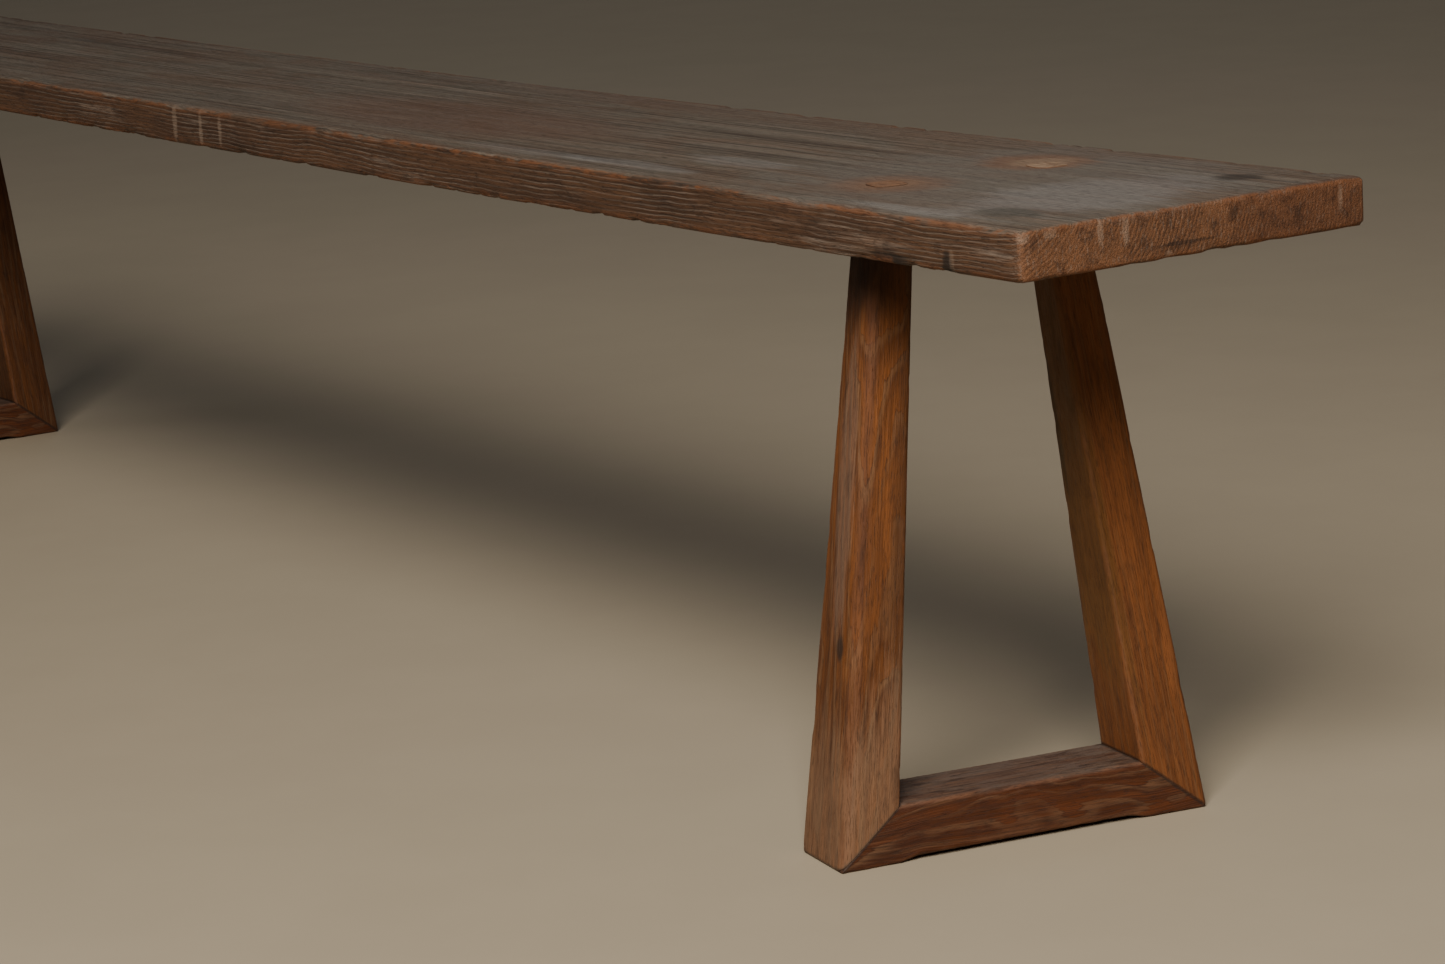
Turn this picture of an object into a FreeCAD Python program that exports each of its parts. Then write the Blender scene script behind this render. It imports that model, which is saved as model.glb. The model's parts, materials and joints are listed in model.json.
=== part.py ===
"""Backless bench of a solid plank on two mitred leg frames, a parametric FreeCAD document.

The bench stands on +Z, runs along X and looks towards -Y. The origin is on the floor under the
middle of the whole bench. Each frame is drawn in its own axes, X across the frame and Y along it,
and is then turned and set under the plank by its Placement.
"""
import FreeCAD, Part
import math
import os

import Sketcher

SIZES = {
    # plank
    "seat_length": 2360.0,
    "seat_width_right": 280.0,
    "seat_width_left": 236.0,
    "seat_thickness": 32.0,
    "seat_height": 450.0,
    "seat_bow": 5.5,
    "seat_end_skew": 8.0,
    "seat_corner_radius": 7.0,
    "seat_edge_radius": 2.5,
    "seat_set_back": 3.3,
    # where each frame stands under the plank, and how it is turned about the vertical
    "frame_inset_right": 244.0,
    "frame_inset_left": 238.0,
    "frame_turn_right": 9.4,
    "frame_turn_left": -1.0,
    "frame_rake": 24.0,
    # outline of a frame, measured from its own middle
    "foot_front": 144.5,
    "foot_rear": 135.5,
    "leg_top_out": 80.5,
    "leg_top_in": 47.5,
    "mitre_run": 48.5,
    "rail_height": 39.0,
    "rail_relief": 3.0,
    "rail_relief_run": 14.0,
    "rail_pad": 46.0,
    "leg_thickness_foot": 63.0,
    "leg_thickness_top": 30.0,
    "leg_edge_radius": 4.0,
    # joints
    "tenon_thickness": 27.0,
    "tenon_depth": 24.0,
    "tenon_clearance": 0.1,
    "shoulder_gap": 0.25,
    "wedge_top": 3.0,
    "wedge_bottom": 0.8,
    "wedge_depth": 24.0,
    "key_length": 26.0,
    "key_width": 16.0,
    "key_thickness": 12.0,
    "key_clearance": 0.1,
}

# Over a frame the bowed plank lies lower than at its ends by DROP. TOP is its upper face there, and
# SHOULDER the top of a leg below it. MITRE is the length of a mitre's face.
DROP = "(4 * Sizes.seat_bow * Sizes.frame_inset_{side} * (Sizes.seat_length - Sizes.frame_inset_{side})" \
        " / Sizes.seat_length ^ 2)"
TOP = "(Sizes.seat_height - " + DROP + ")"
SHOULDER = "(Sizes.seat_height - Sizes.seat_thickness - Sizes.shoulder_gap - " + DROP + ")"
MITRE = "sqrt(Sizes.mitre_run ^ 2 + Sizes.rail_height ^ 2)"

# How far a cutting solid reaches past what it cuts, and the size of a sketch before it is driven.
REACH = 10
START = 50

doc = FreeCAD.newDocument("bench")
sheet = doc.addObject("Spreadsheet::Sheet", "Sizes")


def fill_sheet():
    """Writes each driving size into the sheet, with its name beside it."""
    for row, (name, number) in enumerate(SIZES.items(), start=1):
        sheet.set(f"A{row}", name)
        sheet.set(f"B{row}", str(number))
        sheet.setAlias(f"B{row}", name)
    doc.recompute()


def size(name):
    """A driving size, as the sheet holds it."""
    return float(sheet.get(name))


def origin_plane(body, role):
    """One of the body's own three origin planes."""
    return next(f for f in body.Origin.OriginFeatures if f.Role == role)


def new_body(label):
    """An empty body with its own label."""
    body = doc.addObject("PartDesign::Body", label)
    body.Label = label
    return body


def new_sketch(body, name, role, offset="0"):
    """A sketch on an origin plane of the body, moved along the plane's normal by an expression."""
    sketch = body.newObject("Sketcher::SketchObject", name)
    sketch.AttachmentSupport = [(origin_plane(body, role), "")]
    sketch.MapMode = "FlatFace"
    sketch.setExpression(".AttachmentOffset.Base.z", offset)
    return sketch


def polygon(body, name, role, corners, offset="0"):
    """A closed outline through corners, each a pair of expressions, on an origin plane of the body."""
    sketch = new_sketch(body, name, role, offset)
    count = len(corners)
    turns = [2 * math.pi * i / count for i in range(count)]
    start = [FreeCAD.Vector(START * math.cos(turn), START * math.sin(turn), 0) for turn in turns]
    for i in range(count):
        sketch.addGeometry(Part.LineSegment(start[i], start[(i + 1) % count]), False)
    for i in range(count):
        sketch.addConstraint(Sketcher.Constraint("Coincident", i, 2, (i + 1) % count, 1))
    for i, corner in enumerate(corners):
        for kind, along, at in (("DistanceX", corner[0], start[i].x), ("DistanceY", corner[1], start[i].y)):
            index = sketch.addConstraint(Sketcher.Constraint(kind, -1, 1, i, 1, at))
            sketch.setExpression(f"Constraints[{index}]", along)
    return sketch


def add_pad(body, name, sketch, width):
    """A solid of the sketch's outline, as far to one side of the sketch as to the other."""
    pad = body.newObject("PartDesign::Pad", name)
    pad.Profile = sketch
    pad.setExpression("Length", width)
    pad.SideType = "Symmetric"
    body.Tip = pad
    doc.recompute()
    return pad


def cut_through(body, name, sketch, width=None):
    """Cuts a sketched outline out of the body, to both sides of the sketch."""
    before = body.Shape.Volume
    pocket = body.newObject("PartDesign::Pocket", name)
    pocket.Profile = sketch
    if width is None:
        pocket.Type = "ThroughAll"
    else:
        pocket.setExpression("Length", width)
    pocket.SideType = "Symmetric"
    body.Tip = pocket
    doc.recompute()
    if not body.Shape.Volume < before - 1.0:
        raise RuntimeError(f"{name} cut nothing from {body.Label}")
    return pocket


def round_edges(body, name, radius, wanted):
    """Rounds the edges of the body's last feature for which wanted(edge) holds."""
    base = body.Tip
    names = [f"Edge{i + 1}" for i, edge in enumerate(base.Shape.Edges) if wanted(edge)]
    fillet = body.newObject("PartDesign::Fillet", name)
    fillet.Base = (base, names)
    fillet.setExpression("Radius", radius)
    body.Tip = fillet
    doc.recompute()
    return fillet


def along(edge, axis):
    """How squarely an edge runs along an axis, 0 to 1."""
    ends = [vertex.Point for vertex in edge.Vertexes]
    if len(ends) < 2:
        return 0.0
    run = ends[1] - ends[0]
    return abs(run.dot(axis)) / run.Length


class Frame:
    """One leg frame: its side of the bench, the way it leans, and its place under the plank."""

    def __init__(self, side):
        self.side = side
        self.out = "1" if side == "right" else "-1"
        self.top = TOP.format(side=side)
        self.shoulder = SHOULDER.format(side=side)

    def place(self, piece):
        """Turns a piece of this frame and sets it under the plank."""
        piece.Placement.Rotation = FreeCAD.Rotation(FreeCAD.Vector(0, 0, 1), 1.0)
        piece.setExpression(".Placement.Rotation.Angle", f"-Sizes.frame_turn_{self.side}")
        centre = f"{self.out} * (Sizes.seat_length / 2 - Sizes.frame_inset_{self.side})"
        piece.setExpression(".Placement.Base.x", centre)
        piece.setExpression(".Placement.Base.y", "Sizes.seat_set_back")

    def lean(self, height):
        """How far the frame's middle leans outwards at a height."""
        return f"({self.out} * Sizes.frame_rake * (1 - ({height}) / {self.shoulder}))"

    def half_thickness(self, height):
        """Half the frame's thickness at a height."""
        return f"((Sizes.leg_thickness_foot + (Sizes.leg_thickness_top - Sizes.leg_thickness_foot)" \
               f" * ({height}) / {self.shoulder}) / 2)"

    def across(self, height):
        """The two faces of the frame at a height, as places along X."""
        return (f"{self.lean(height)} - {self.half_thickness(height)}",
                f"{self.lean(height)} + {self.half_thickness(height)}")

    def outside(self, end, height):
        """The outer side of a leg at a height, as a distance from the frame's middle."""
        return f"(Sizes.foot_{end} + (Sizes.leg_top_out - Sizes.foot_{end}) * ({height}) / {self.shoulder})"

    def inside(self, end, height):
        """The inner side of a leg at a height, as a distance from the frame's middle."""
        low = f"(Sizes.foot_{end} - Sizes.mitre_run)"
        share = f"((({height}) - Sizes.rail_height) / ({self.shoulder} - Sizes.rail_height))"
        return f"({low} + (Sizes.leg_top_in - {low}) * {share})"

    def tenon_middle(self, end, height):
        """The middle of a tenon at a height, as a distance from the frame's middle."""
        return f"(({self.outside(end, height)} + {self.inside(end, height)}) / 2)"


def sign(end):
    """Which way an end lies along the frame, as text for an expression."""
    return "-1" if end == "front" else "1"


def tenon_corners(frame, end, low, high, spare):
    """The tenon's outline between two heights, larger by spare on each side."""
    way = sign(end)
    depth = f"(Sizes.tenon_depth / 2 + {spare})"
    foot, head = frame.tenon_middle(end, low), frame.tenon_middle(end, high)
    return [(f"{way} * {foot} - {depth}", low), (f"{way} * {foot} + {depth}", low),
            (f"{way} * {head} + {depth}", high), (f"{way} * {head} - {depth}", high)]


def taper_sides(body, label, frame):
    """Cuts both faces of a blank to the frame's thickness and lean."""
    low, high = f"(-{REACH})", f"({frame.shoulder} + {REACH})"
    for name, face, way in (("inner", 0, "-1"), ("outer", 1, "1")):
        far = f"{way} * 2 * (Sizes.leg_thickness_foot + Sizes.frame_rake)"
        side = polygon(body, f"{label}_{name}_side", "XZ_Plane", [
            (frame.across(low)[face], low), (frame.across(high)[face], high), (far, high), (far, low)])
        cut_through(body, f"{label}_{name}_side_cut", side)


def key_corners(end, spare):
    """The four corners of the key across a mitre, on the frame's own plane."""
    way = sign(end)
    along_u = f"(Sizes.mitre_run / {MITRE})"
    along_z = f"(Sizes.rail_height / {MITRE})"
    middle_u = f"(Sizes.foot_{end} - Sizes.mitre_run / 2)"
    middle_z = "(Sizes.rail_height / 2)"
    half_length = f"(Sizes.key_length / 2 + {spare})"
    half_width = f"(Sizes.key_width / 2 + {spare})"
    corners = []
    for length, width in (("-1", "-1"), ("1", "-1"), ("1", "1"), ("-1", "1")):
        out = f"{middle_u} + {length} * {half_length} * {along_z} - {width} * {half_width} * {along_u}"
        up = f"{middle_z} + {length} * {half_length} * {along_u} + {width} * {half_width} * {along_z}"
        corners.append((f"{way} * ({out})", up))
    return corners


def make_leg(frame, end):
    """A tapered leg: shouldered tenon at the top, mitre at the foot, slots for wedge and key."""
    label = f"leg_{end}_{frame.side}"
    body = new_body(label)
    way = sign(end)
    outline = polygon(body, f"{label}_outline", "YZ_Plane", [
        (f"{way} * Sizes.foot_{end}", "0"),
        (f"{way} * (Sizes.foot_{end} - Sizes.mitre_run)", "Sizes.rail_height"),
        (f"{way} * Sizes.leg_top_in", frame.shoulder),
        (f"{way} * Sizes.leg_top_out", frame.shoulder),
    ])
    add_pad(body, f"{label}_blank", outline, "2 * (Sizes.leg_thickness_foot + Sizes.frame_rake)")
    taper_sides(body, label, frame)
    round_edges(body, f"{label}_rounding", "Sizes.leg_edge_radius",
                lambda edge: along(edge, FreeCAD.Vector(0, 0, 1)) > 0.8)

    tenon = polygon(body, f"{label}_tenon_outline", "YZ_Plane",
                    tenon_corners(frame, end, f"({frame.shoulder} - Sizes.leg_edge_radius)", frame.top, "0"))
    add_pad(body, f"{label}_tenon", tenon, "Sizes.tenon_thickness")
    slot = polygon(body, f"{label}_wedge_slot", "YZ_Plane", wedge_corners(frame, end))
    cut_through(body, f"{label}_wedge_cut", slot)
    key = polygon(body, f"{label}_key_slot", "YZ_Plane", key_corners(end, "Sizes.key_clearance"),
                  frame.lean("Sizes.rail_height / 2"))
    cut_through(body, f"{label}_key_cut", key, "Sizes.key_thickness + 2 * Sizes.key_clearance")
    frame.place(body)
    return body


def wedge_corners(frame, end):
    """The wedge's outline along the frame, from the tenon's end down into the tenon."""
    way = sign(end)
    foot = f"({frame.top} - Sizes.wedge_depth)"
    high = frame.tenon_middle(end, frame.top)
    low = frame.tenon_middle(end, foot)
    return [
        (f"{way} * {low} - Sizes.wedge_bottom / 2", foot),
        (f"{way} * {low} + Sizes.wedge_bottom / 2", foot),
        (f"{way} * {high} + Sizes.wedge_top / 2", frame.top),
        (f"{way} * {high} - Sizes.wedge_top / 2", frame.top),
    ]


def make_wedge(frame, end):
    """The thin wedge driven into the end of a tenon."""
    label = f"wedge_{end}_{frame.side}"
    body = new_body(label)
    outline = polygon(body, f"{label}_outline", "YZ_Plane", wedge_corners(frame, end))
    add_pad(body, f"{label}_pad", outline, "Sizes.tenon_thickness")
    frame.place(body)
    return body


def make_rail(frame):
    """The floor rail: a mitre at each end and a shallow hollow underneath, so that its ends stand."""
    label = f"floor_rail_{frame.side}"
    body = new_body(label)
    outline = polygon(body, f"{label}_outline", "YZ_Plane", [
        ("-Sizes.foot_front", "0"),
        ("Sizes.foot_rear", "0"),
        ("Sizes.foot_rear - Sizes.mitre_run", "Sizes.rail_height"),
        ("-(Sizes.foot_front - Sizes.mitre_run)", "Sizes.rail_height"),
    ])
    add_pad(body, f"{label}_blank", outline, "2 * (Sizes.leg_thickness_foot + Sizes.frame_rake)")
    taper_sides(body, label, frame)
    round_edges(body, f"{label}_rounding", "Sizes.leg_edge_radius",
                lambda edge: along(edge, FreeCAD.Vector(0, 1, 0)) > 0.99)
    relief = polygon(body, f"{label}_relief", "YZ_Plane", [
        ("-(Sizes.foot_front - Sizes.rail_pad)", "-Sizes.rail_relief"),
        ("Sizes.foot_rear - Sizes.rail_pad", "-Sizes.rail_relief"),
        ("Sizes.foot_rear - Sizes.rail_pad", "0"),
        ("Sizes.foot_rear - Sizes.rail_pad - Sizes.rail_relief_run", "Sizes.rail_relief"),
        ("-(Sizes.foot_front - Sizes.rail_pad - Sizes.rail_relief_run)", "Sizes.rail_relief"),
        ("-(Sizes.foot_front - Sizes.rail_pad)", "0"),
    ])
    cut_through(body, f"{label}_relief_cut", relief)
    for end in ("front", "rear"):
        key = polygon(body, f"{label}_{end}_key_slot", "YZ_Plane", key_corners(end, "Sizes.key_clearance"),
                      frame.lean("Sizes.rail_height / 2"))
        cut_through(body, f"{label}_{end}_key_cut", key, "Sizes.key_thickness + 2 * Sizes.key_clearance")
    frame.place(body)
    return body


def make_key(frame, end):
    """The loose tenon that crosses a mitre, hidden in the leg and the rail."""
    label = f"mitre_key_{end}_{frame.side}"
    body = new_body(label)
    outline = polygon(body, f"{label}_outline", "YZ_Plane", key_corners(end, "0"),
                      frame.lean("Sizes.rail_height / 2"))
    add_pad(body, f"{label}_pad", outline, "Sizes.key_thickness")
    frame.place(body)
    return body


def make_mortise(frame, end):
    """The slanted hole that takes a tenon, as a solid that reaches past both faces of the plank."""
    label = f"mortise_{end}_{frame.side}"
    body = new_body(label)
    outline = polygon(body, f"{label}_outline", "YZ_Plane",
                      tenon_corners(frame, end, f"({frame.shoulder} - {REACH})", f"({frame.top} + {REACH})",
                                    "Sizes.tenon_clearance"))
    add_pad(body, f"{label}_solid", outline, "Sizes.tenon_thickness + 2 * Sizes.tenon_clearance")
    frame.place(body)
    return body


def make_seat(mortises):
    """The plank: bowed along its length, narrower to the left, with four slanted mortises."""
    side = new_body("seat_side")
    profile = new_sketch(side, "seat_side_outline", "XZ_Plane")
    half = size("seat_length") / 2 + REACH
    top, low = size("seat_height"), size("seat_height") - size("seat_thickness")
    bow_radius = (half ** 2) / (2 * size("seat_bow"))
    opening = math.asin(half / bow_radius)
    for height in (top, low):
        circle = Part.Circle(FreeCAD.Vector(0, height + bow_radius * math.cos(opening), 0),
                             FreeCAD.Vector(0, 0, 1), bow_radius)
        profile.addGeometry(Part.ArcOfCircle(circle, -math.pi / 2 - opening, -math.pi / 2 + opening), False)
    profile.addGeometry(Part.LineSegment(FreeCAD.Vector(-half, low, 0), FreeCAD.Vector(-half, top, 0)), False)
    profile.addGeometry(Part.LineSegment(FreeCAD.Vector(half, low, 0), FreeCAD.Vector(half, top, 0)), False)
    for arc, height in ((0, "Sizes.seat_height"), (1, "Sizes.seat_height - Sizes.seat_thickness")):
        for end, way in ((1, "-1"), (2, "1")):
            for kind, text, at in (("DistanceX", f"{way} * Sizes.seat_length / 2", float(way) * half),
                                   ("DistanceY", height, top if arc == 0 else low)):
                index = profile.addConstraint(Sketcher.Constraint(kind, -1, 1, arc, end, at))
                profile.setExpression(f"Constraints[{index}]", text)
        index = profile.addConstraint(Sketcher.Constraint("Radius", arc, bow_radius))
        profile.setExpression(f"Constraints[{index}]",
                              "(Sizes.seat_length ^ 2 / 4 + Sizes.seat_bow ^ 2) / (2 * Sizes.seat_bow)")
    for line, end in ((2, 1), (3, 2)):
        profile.addConstraint(Sketcher.Constraint("Coincident", line, 1, 1, end))
        profile.addConstraint(Sketcher.Constraint("Coincident", line, 2, 0, end))
    add_pad(side, "seat_side_pad", profile, "2 * Sizes.seat_width_right + 2 * Sizes.seat_width_left")

    plan = new_body("seat_plan")
    outline = polygon(plan, "seat_plan_outline", "XY_Plane", [
        ("-Sizes.seat_length / 2", "Sizes.seat_set_back - Sizes.seat_width_left / 2"),
        ("Sizes.seat_length / 2", "Sizes.seat_set_back - Sizes.seat_width_right / 2"),
        ("Sizes.seat_length / 2 - Sizes.seat_end_skew", "Sizes.seat_set_back + Sizes.seat_width_right / 2"),
        ("-Sizes.seat_length / 2", "Sizes.seat_set_back + Sizes.seat_width_left / 2"),
    ])
    add_pad(plan, "seat_plan_pad", outline, "4 * Sizes.seat_height")
    round_edges(plan, "seat_plan_corners", "Sizes.seat_corner_radius",
                lambda edge: along(edge, FreeCAD.Vector(0, 0, 1)) > 0.99)

    blank = doc.addObject("Part::Common", "seat_blank")
    blank.Label = "seat_blank"
    blank.Base, blank.Tool = side, plan
    doc.recompute()
    soft = doc.addObject("Part::Fillet", "seat_rounded")
    soft.Label = "seat_rounded"
    soft.Base = blank
    radius = size("seat_edge_radius")
    middle, away = (top + low) / 2, (top - low) / 4
    soft.Edges = [(i + 1, radius, radius) for i, edge in enumerate(blank.Shape.Edges)
                  if along(edge, FreeCAD.Vector(0, 0, 1)) < 0.5 and abs(edge.CenterOfMass.z - middle) > away]
    holes = doc.addObject("Part::MultiFuse", "seat_mortises")
    holes.Label = "seat_mortises"
    holes.Shapes = mortises
    seat = doc.addObject("Part::Cut", "seat_plank")
    seat.Label = "seat_plank"
    seat.Base, seat.Tool = soft, holes
    doc.recompute()
    return seat


def check_document():
    """Stops the build if any object failed."""
    bad = [f"{o.Label}: {o.State}" for o in doc.Objects if "Invalid" in o.State or "Error" in o.State]
    if bad:
        raise RuntimeError("failed objects: " + "; ".join(bad))


def write_parts(pieces):
    """Checks each piece's shape and writes it to a file of its own."""
    os.makedirs("parts", exist_ok=True)
    for piece in pieces:
        shape = piece.Shape
        if shape.isNull() or not shape.isValid() or len(shape.Solids) != 1:
            raise RuntimeError(f"{piece.Label} is not one valid solid")
        shape.exportStep(f"parts/{piece.Label}.step")
        box = shape.BoundBox
        print(f"{piece.Label}: {shape.Volume / 1000:.1f} cm3, x {box.XMin:.1f} to {box.XMax:.1f},"
              f" y {box.YMin:.1f} to {box.YMax:.1f}, z {box.ZMin:.1f} to {box.ZMax:.1f}")


fill_sheet()
pieces, mortises = [], []
for side in ("right", "left"):
    frame = Frame(side)
    for end in ("front", "rear"):
        pieces.append(make_leg(frame, end))
        pieces.append(make_wedge(frame, end))
        pieces.append(make_key(frame, end))
        mortises.append(make_mortise(frame, end))
    pieces.append(make_rail(frame))
pieces.insert(0, make_seat(mortises))
doc.recompute()
check_document()
write_parts(pieces)
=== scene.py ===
"""Looks of the backless plank bench: one weathered plank on two mitred leg frames.

Lengths are metres. The bench stands on +Z, runs along X and looks towards -Y, with the origin on
the floor under its middle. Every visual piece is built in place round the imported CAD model.
"""
from __future__ import annotations

import json
import logging
import math
from dataclasses import dataclass, field
from enum import Enum

import bpy
import numpy as np
from mathutils import Matrix, Vector

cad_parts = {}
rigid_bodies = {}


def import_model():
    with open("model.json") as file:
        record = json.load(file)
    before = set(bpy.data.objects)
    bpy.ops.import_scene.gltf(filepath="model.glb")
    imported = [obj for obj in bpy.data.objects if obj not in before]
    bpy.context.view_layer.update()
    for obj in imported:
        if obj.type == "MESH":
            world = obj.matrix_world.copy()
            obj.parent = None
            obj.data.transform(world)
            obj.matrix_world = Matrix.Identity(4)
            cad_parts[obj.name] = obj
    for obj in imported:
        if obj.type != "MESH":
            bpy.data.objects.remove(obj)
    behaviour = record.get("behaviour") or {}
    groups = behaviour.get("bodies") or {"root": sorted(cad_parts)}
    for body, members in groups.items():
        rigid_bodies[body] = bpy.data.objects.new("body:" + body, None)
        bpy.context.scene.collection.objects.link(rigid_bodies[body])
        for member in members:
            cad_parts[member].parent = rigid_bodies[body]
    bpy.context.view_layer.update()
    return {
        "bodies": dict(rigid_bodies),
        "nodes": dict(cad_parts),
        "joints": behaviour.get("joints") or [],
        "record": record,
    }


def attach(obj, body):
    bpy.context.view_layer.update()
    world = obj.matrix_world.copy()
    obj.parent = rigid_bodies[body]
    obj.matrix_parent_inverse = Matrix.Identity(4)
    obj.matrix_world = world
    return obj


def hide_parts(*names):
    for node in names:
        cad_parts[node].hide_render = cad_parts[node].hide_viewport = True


LOG = logging.getLogger("bench")
MM = 0.001
FLOOR_GAP = 0.05 * MM
SHEEN = 0.28
Colour = tuple[float, float, float]
Place = tuple[float, float, float]
Shape = tuple[np.ndarray, np.ndarray, np.ndarray, np.ndarray]


class Side(Enum):
    """A leg frame's side of the bench."""

    RIGHT = "right"
    LEFT = "left"

    @property
    def out(self) -> int:
        """The way outwards along X."""
        return 1 if self is Side.RIGHT else -1


class End(Enum):
    """A leg's end of its frame."""

    FRONT = "front"
    REAR = "rear"

    @property
    def way(self) -> int:
        """The way outwards along Y."""
        return -1 if self is End.FRONT else 1


class Slot(Enum):
    """The record's material slots."""

    PLANK = "weathered_plank"
    LEG = "leg_wood"
    RAIL = "rail_wood"
    WEDGE = "wedge_wood"
    KEY = "key_wood"


@dataclass(frozen=True)
class PlankSizes:
    """The plank's driving sizes.

    Args:
        length, thickness, height: The plank's own, with the height of its top above the floor.
        width_right, width_left: Its width at its two ends.
        bow: How far its middle sags below its ends.
        skew: How far the right end's rear corner falls short of its front corner.
        skew_run: The length over which that skew fades out.
        set_back: How far its middle line lies behind the origin.
        corner, rear_corner: The radii of the front and the rear corners, seen from above.
        arris: The radius of the long edges.
        arris_wander: The share by which that radius varies along the length.
    """

    length: float = 2360 * MM
    width_right: float = 280 * MM
    width_left: float = 236 * MM
    thickness: float = 32 * MM
    height: float = 450 * MM
    bow: float = 5.5 * MM
    skew: float = 6 * MM
    skew_run: float = 300 * MM
    set_back: float = 3.3 * MM
    corner: float = 9 * MM
    rear_corner: float = 3.5 * MM
    arris: float = 3.2 * MM
    arris_wander: float = 0.35

    def drop(self, x: float | np.ndarray) -> float | np.ndarray:
        """How far the bowed top lies below its ends.

        Args:
            x: A place along X, or an array of them.

        Returns:
            The drop there, of the same kind.
        """
        half = self.length / 2
        return self.bow * (half - x) * (half + x) / half ** 2


@dataclass(frozen=True)
class FrameSizes:
    """The driving sizes of a leg frame, measured from its own middle.

    Args:
        foot: The reach of each foot along the frame.
        inset: How far each frame stands in from its end of the plank.
        turn: How far each frame is turned about Z, in degrees.
        rake: How far the feet stand out past the shoulders.
        top_out, top_in: The outer and the inner edge of a leg at its shoulder.
        mitre_run: The length of the mitre along the floor.
        rail_height, rail_relief, rail_pad, rail_relief_run: The rail, and the hollow below it.
        thick_foot, thick_top: A leg's thickness across the frame, at the floor and the shoulder.
        tenon_thickness, tenon_depth, tenon_corner: The tenon's section.
        tenon_proud: How far it stands above the plank.
        tenon_root: How far the tenon's shell starts inside the leg.
        shoulder_gap: The gap between a shoulder and the plank.
        toe: The reach of the wear round the feet.
        toe_wear: The share of that reach that the wear takes off.
    """

    foot: dict = field(default_factory=lambda: {End.FRONT: 144.5 * MM, End.REAR: 135.5 * MM})
    inset: dict = field(default_factory=lambda: {Side.RIGHT: 244 * MM, Side.LEFT: 238 * MM})
    turn: dict = field(default_factory=lambda: {Side.RIGHT: 9.4, Side.LEFT: -1.0})
    rake: float = 24.0 * MM
    top_out: float = 80.5 * MM
    top_in: float = 47.5 * MM
    mitre_run: float = 48.5 * MM
    rail_height: float = 39 * MM
    rail_relief: float = 3 * MM
    rail_pad: float = 46 * MM
    rail_relief_run: float = 14 * MM
    thick_foot: float = 63 * MM
    thick_top: float = 30 * MM
    tenon_thickness: float = 27 * MM
    tenon_depth: float = 24 * MM
    shoulder_gap: float = 0.25 * MM
    toe: float = 4 * MM
    toe_wear: float = 0.45
    tenon_proud: float = 0.7 * MM
    tenon_corner: float = 8 * MM
    tenon_root: float = 4 * MM


PLANK = PlankSizes()
FRAME = FrameSizes()


@dataclass(frozen=True)
class Mark:
    """A soft-edged patch of another colour on a piece, in the piece's own coordinates.

    Args:
        centre: Its place along, across and through the piece.
        radii: Its reach the same three ways.
        colour: The colour it brings.
        strength: How much of that colour shows, 0 to 1.
    """

    centre: Place
    radii: Place
    colour: Colour
    strength: float


@dataclass(frozen=True)
class WoodFinish:
    """A wood surface whose growth rings run round a pith line along the piece's own length.

    Args:
        name: The material's name.
        early: Colour between the rings.
        late: Colour of the dark part of a ring.
        streak: Colour of the light weathered streaks.
        end: Colour of the end grain.
        arris: Colour of worn edges.
        pith: Where the pith line lies across the piece.
        climb: How far the pith line climbs per metre of length, which draws the cathedrals.
        spacing: The distance from ring to ring.
        ring: How strongly the rings show.
        lines: How strongly the pale line at a ring's edge shows.
        streaks: How much of the surface the streaks cover.
        patina: Colour of the faces that look upwards.
        patina_share: How much of the patina colour shows there.
        stain_and_shade: Colour of dirt, open pores and the dark band of stain and painted shade.
        stain_and_shade_from: Where that band of stain and painted shade begins along the length,
            and where it is full.
        dirt: How strongly the dirt shows.
        roughness: The surface's roughness.
        relief: The depth of the fine relief.
        seed: Sets this piece's figure apart from the others.
        marks: The patches that belong to this piece alone.
    """

    name: str
    early: Colour
    late: Colour
    streak: Colour
    end: Colour
    arris: Colour
    pith: tuple[float, float] = (0.03, 0.05)
    climb: tuple[float, float] = (0.0, 0.08)
    spacing: float = 0.0055
    ring: float = 0.55
    lines: float = 0.5
    streaks: float = 0.35
    patina: Colour = (0.1, 0.08, 0.06)
    patina_share: float = 0.0
    # colour of dirt and pores, and of the dark band that is partly stain and partly painted shade
    stain_and_shade: Colour = (0.012, 0.006, 0.003)
    stain_and_shade_from: tuple[float, float] = (9.0, 10.0)
    dirt: float = 0.45
    roughness: float = 0.6
    relief: float = 0.0006
    seed: float = 0.0
    marks: tuple[Mark, ...] = ()


def on_top(x: float, y: float, reach_x: float, reach_y: float, colour: Colour,
           strength: float) -> Mark:
    """Makes a mark on the plank's upper face.

    Args:
        x, y: Its middle.
        reach_x, reach_y: Its reach.
        colour: The colour it brings.
        strength: How much of that colour shows, 0 to 1.

    Returns:
        The mark.
    """
    return Mark((x, y, PLANK.height), (reach_x, reach_y, 8 * MM), colour, strength)


GREY = (0.36, 0.35, 0.34)
HAZE = (0.25, 0.24, 0.235)
TAN = (0.160, 0.070, 0.032)
SOOT = (0.014, 0.009, 0.006)
CHALK = (0.33, 0.24, 0.17)

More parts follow.
